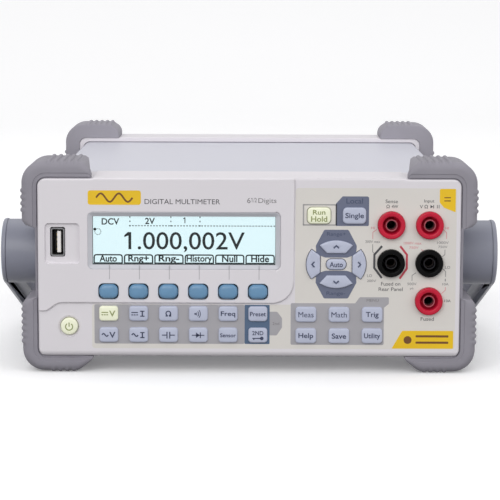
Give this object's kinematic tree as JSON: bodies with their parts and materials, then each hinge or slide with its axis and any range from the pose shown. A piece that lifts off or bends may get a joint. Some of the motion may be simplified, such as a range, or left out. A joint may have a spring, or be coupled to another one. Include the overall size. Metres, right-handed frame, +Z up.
{
  "type": "bench multimeter",
  "caption": "Half-width bench digital multimeter: lit display, press keys, banana jacks, rubber corner bumpers and a folding carry handle.",
  "frame": {"origin": "on the bench, under the middle of the instrument's box", "axes": "+X to the right of someone facing the front panel, +Y from the front panel to the rear panel, +Z up"},
  "size_m": [0.255, 0.2904, 0.107],
  "materials": {
    "bezel_plastic": "satin",
    "overlay_print": "satin",
    "clear_window": "polished",
    "lcd": "smooth",
    "mat_rubber": "matte",
    "circuit_board": "satin",
    "red_plastic": "glossy",
    "black_plastic": "satin",
    "contact_metal": "polished",
    "connector_metal": "satin",
    "painted_cover": "fine texture",
    "sheet_steel": "zinc plated",
    "rear_paint": "satin",
    "bumper_rubber": "matte",
    "transformer_core": "varnished",
    "handle_plastic": "satin",
    "softkey_plastic": "satin",
    "key_plastic": "satin",
    "lit_key": "translucent, lit"
  },
  "bodies": {
    "chassis": {"front_bezel": "bezel_plastic", "panel_overlay": "overlay_print", "display_window": "clear_window", "lcd_module": "lcd", "keypad_mat": "mat_rubber", "keyboard_pcb": "circuit_board", "jack_panel": "bezel_plastic", "red_jack_collars": "red_plastic", "black_jack_collars": "black_plastic", "jack_contacts": "contact_metal", "usb_host_port": "connector_metal", "case_cover": "painted_cover", "chassis_tray": "sheet_steel", "rear_bezel": "bezel_plastic", "rear_panel": "rear_paint", "front_bumper_left": "bumper_rubber", "front_bumper_right": "bumper_rubber", "rear_bumper_left": "bumper_rubber", "rear_bumper_right": "bumper_rubber", "main_pcb": "circuit_board", "power_transformer": "transformer_core", "power_inlet": "black_plastic", "rear_connectors": "connector_metal", "case_screws": "sheet_steel", "handle_pivots": "handle_plastic"},
    "handle": {"handle_frame": "handle_plastic"},
    "rocker": {"power_rocker": "black_plastic"},
    "fuse_cap": {"input_fuse_cap": "black_plastic"},
    "power_button_body": {"power_button": "lit_key"},
    "softkey_1_body": {"softkey_1": "softkey_plastic"},
    "softkey_2_body": {"softkey_2": "softkey_plastic"},
    "softkey_3_body": {"softkey_3": "softkey_plastic"},
    "softkey_4_body": {"softkey_4": "softkey_plastic"},
    "softkey_5_body": {"softkey_5": "softkey_plastic"},
    "softkey_6_body": {"softkey_6": "softkey_plastic"},
    "dc_volts_key_body": {"dc_volts_key": "lit_key"},
    "dc_current_key_body": {"dc_current_key": "key_plastic"},
    "ohms_key_body": {"ohms_key": "key_plastic"},
    "continuity_key_body": {"continuity_key": "key_plastic"},
    "frequency_key_body": {"frequency_key": "key_plastic"},
    "preset_key_body": {"preset_key": "key_plastic"},
    "ac_volts_key_body": {"ac_volts_key": "key_plastic"},
    "ac_current_key_body": {"ac_current_key": "key_plastic"},
    "capacitance_key_body": {"capacitance_key": "key_plastic"},
    "diode_key_body": {"diode_key": "key_plastic"},
    "sensor_key_body": {"sensor_key": "key_plastic"},
    "second_key_body": {"second_key": "key_plastic"},
    "measure_key_body": {"measure_key": "key_plastic"},
    "math_key_body": {"math_key": "key_plastic"},
    "trigger_key_body": {"trigger_key": "key_plastic"},
    "help_key_body": {"help_key": "key_plastic"},
    "save_key_body": {"save_key": "key_plastic"},
    "utility_key_body": {"utility_key": "key_plastic"},
    "run_hold_key_body": {"run_hold_key": "lit_key"},
    "single_key_body": {"single_key": "key_plastic"},
    "up_key_body": {"up_key": "key_plastic"},
    "left_key_body": {"left_key": "key_plastic"},
    "down_key_body": {"down_key": "key_plastic"},
    "right_key_body": {"right_key": "key_plastic"},
    "auto_key_body": {"auto_key": "key_plastic"}
  },
  "joints": [
    {"name": "handle_swing", "type": "hinge", "parent": "chassis", "child": "handle", "pos_m": [0, -0.0955, 0.0555], "axis": [-1, 0, 0], "range_deg": [0, 300]},
    {"name": "rocker_tilt", "type": "hinge", "parent": "chassis", "child": "rocker", "pos_m": [-0.076, 0.1315, 0.061], "axis": [1, 0, 0], "range_deg": [0, 20]},
    {"name": "fuse_cap_turn", "type": "hinge", "parent": "chassis", "child": "fuse_cap", "pos_m": [0.084, 0.1345, 0.037], "axis": [0, 1, 0], "range_deg": [0, 90]},
    {"name": "power_button_press", "type": "slide", "parent": "chassis", "child": "power_button_body", "axis": [0, 1, 0], "range_m": [0, 0.001], "stiffness_N_per_m": 600, "springref_m": -0.0005},
    {"name": "softkey_1_press", "type": "slide", "parent": "chassis", "child": "softkey_1_body", "axis": [0, 1, 0], "range_m": [0, 0.001], "stiffness_N_per_m": 600, "springref_m": -0.0005},
    {"name": "softkey_2_press", "type": "slide", "parent": "chassis", "child": "softkey_2_body", "axis": [0, 1, 0], "range_m": [0, 0.001], "stiffness_N_per_m": 600, "springref_m": -0.0005},
    {"name": "softkey_3_press", "type": "slide", "parent": "chassis", "child": "softkey_3_body", "axis": [0, 1, 0], "range_m": [0, 0.001], "stiffness_N_per_m": 600, "springref_m": -0.0005},
    {"name": "softkey_4_press", "type": "slide", "parent": "chassis", "child": "softkey_4_body", "axis": [0, 1, 0], "range_m": [0, 0.001], "stiffness_N_per_m": 600, "springref_m": -0.0005},
    {"name": "softkey_5_press", "type": "slide", "parent": "chassis", "child": "softkey_5_body", "axis": [0, 1, 0], "range_m": [0, 0.001], "stiffness_N_per_m": 600, "springref_m": -0.0005},
    {"name": "softkey_6_press", "type": "slide", "parent": "chassis", "child": "softkey_6_body", "axis": [0, 1, 0], "range_m": [0, 0.001], "stiffness_N_per_m": 600, "springref_m": -0.0005},
    {"name": "dc_volts_key_press", "type": "slide", "parent": "chassis", "child": "dc_volts_key_body", "axis": [0, 1, 0], "range_m": [0, 0.001], "stiffness_N_per_m": 600, "springref_m": -0.0005},
    {"name": "dc_current_key_press", "type": "slide", "parent": "chassis", "child": "dc_current_key_body", "axis": [0, 1, 0], "range_m": [0, 0.001], "stiffness_N_per_m": 600, "springref_m": -0.0005},
    {"name": "ohms_key_press", "type": "slide", "parent": "chassis", "child": "ohms_key_body", "axis": [0, 1, 0], "range_m": [0, 0.001], "stiffness_N_per_m": 600, "springref_m": -0.0005},
    {"name": "continuity_key_press", "type": "slide", "parent": "chassis", "child": "continuity_key_body", "axis": [0, 1, 0], "range_m": [0, 0.001], "stiffness_N_per_m": 600, "springref_m": -0.0005},
    {"name": "frequency_key_press", "type": "slide", "parent": "chassis", "child": "frequency_key_body", "axis": [0, 1, 0], "range_m": [0, 0.001], "stiffness_N_per_m": 600, "springref_m": -0.0005},
    {"name": "preset_key_press", "type": "slide", "parent": "chassis", "child": "preset_key_body", "axis": [0, 1, 0], "range_m": [0, 0.001], "stiffness_N_per_m": 600, "springref_m": -0.0005},
    {"name": "ac_volts_key_press", "type": "slide", "parent": "chassis", "child": "ac_volts_key_body", "axis": [0, 1, 0], "range_m": [0, 0.001], "stiffness_N_per_m": 600, "springref_m": -0.0005},
    {"name": "ac_current_key_press", "type": "slide", "parent": "chassis", "child": "ac_current_key_body", "axis": [0, 1, 0], "range_m": [0, 0.001], "stiffness_N_per_m": 600, "springref_m": -0.0005},
    {"name": "capacitance_key_press", "type": "slide", "parent": "chassis", "child": "capacitance_key_body", "axis": [0, 1, 0], "range_m": [0, 0.001], "stiffness_N_per_m": 600, "springref_m": -0.0005},
    {"name": "diode_key_press", "type": "slide", "parent": "chassis", "child": "diode_key_body", "axis": [0, 1, 0], "range_m": [0, 0.001], "stiffness_N_per_m": 600, "springref_m": -0.0005},
    {"name": "sensor_key_press", "type": "slide", "parent": "chassis", "child": "sensor_key_body", "axis": [0, 1, 0], "range_m": [0, 0.001], "stiffness_N_per_m": 600, "springref_m": -0.0005},
    {"name": "second_key_press", "type": "slide", "parent": "chassis", "child": "second_key_body", "axis": [0, 1, 0], "range_m": [0, 0.001], "stiffness_N_per_m": 600, "springref_m": -0.0005},
    {"name": "measure_key_press", "type": "slide", "parent": "chassis", "child": "measure_key_body", "axis": [0, 1, 0], "range_m": [0, 0.001], "stiffness_N_per_m": 600, "springref_m": -0.0005},
    {"name": "math_key_press", "type": "slide", "parent": "chassis", "child": "math_key_body", "axis": [0, 1, 0], "range_m": [0, 0.001], "stiffness_N_per_m": 600, "springref_m": -0.0005},
    {"name": "trigger_key_press", "type": "slide", "parent": "chassis", "child": "trigger_key_body", "axis": [0, 1, 0], "range_m": [0, 0.001], "stiffness_N_per_m": 600, "springref_m": -0.0005},
    {"name": "help_key_press", "type": "slide", "parent": "chassis", "child": "help_key_body", "axis": [0, 1, 0], "range_m": [0, 0.001], "stiffness_N_per_m": 600, "springref_m": -0.0005},
    {"name": "save_key_press", "type": "slide", "parent": "chassis", "child": "save_key_body", "axis": [0, 1, 0], "range_m": [0, 0.001], "stiffness_N_per_m": 600, "springref_m": -0.0005},
    {"name": "utility_key_press", "type": "slide", "parent": "chassis", "child": "utility_key_body", "axis": [0, 1, 0], "range_m": [0, 0.001], "stiffness_N_per_m": 600, "springref_m": -0.0005},
    {"name": "run_hold_key_press", "type": "slide", "parent": "chassis", "child": "run_hold_key_body", "axis": [0, 1, 0], "range_m": [0, 0.001], "stiffness_N_per_m": 600, "springref_m": -0.0005},
    {"name": "single_key_press", "type": "slide", "parent": "chassis", "child": "single_key_body", "axis": [0, 1, 0], "range_m": [0, 0.001], "stiffness_N_per_m": 600, "springref_m": -0.0005},
    {"name": "up_key_press", "type": "slide", "parent": "chassis", "child": "up_key_body", "axis": [0, 1, 0], "range_m": [0, 0.001], "stiffness_N_per_m": 600, "springref_m": -0.0005},
    {"name": "left_key_press", "type": "slide", "parent": "chassis", "child": "left_key_body", "axis": [0, 1, 0], "range_m": [0, 0.001], "stiffness_N_per_m": 600, "springref_m": -0.0005},
    {"name": "down_key_press", "type": "slide", "parent": "chassis", "child": "down_key_body", "axis": [0, 1, 0], "range_m": [0, 0.001], "stiffness_N_per_m": 600, "springref_m": -0.0005},
    {"name": "right_key_press", "type": "slide", "parent": "chassis", "child": "right_key_body", "axis": [0, 1, 0], "range_m": [0, 0.001], "stiffness_N_per_m": 600, "springref_m": -0.0005},
    {"name": "auto_key_press", "type": "slide", "parent": "chassis", "child": "auto_key_body", "axis": [0, 1, 0], "range_m": [0, 0.001], "stiffness_N_per_m": 600, "springref_m": -0.0005}
  ]
}
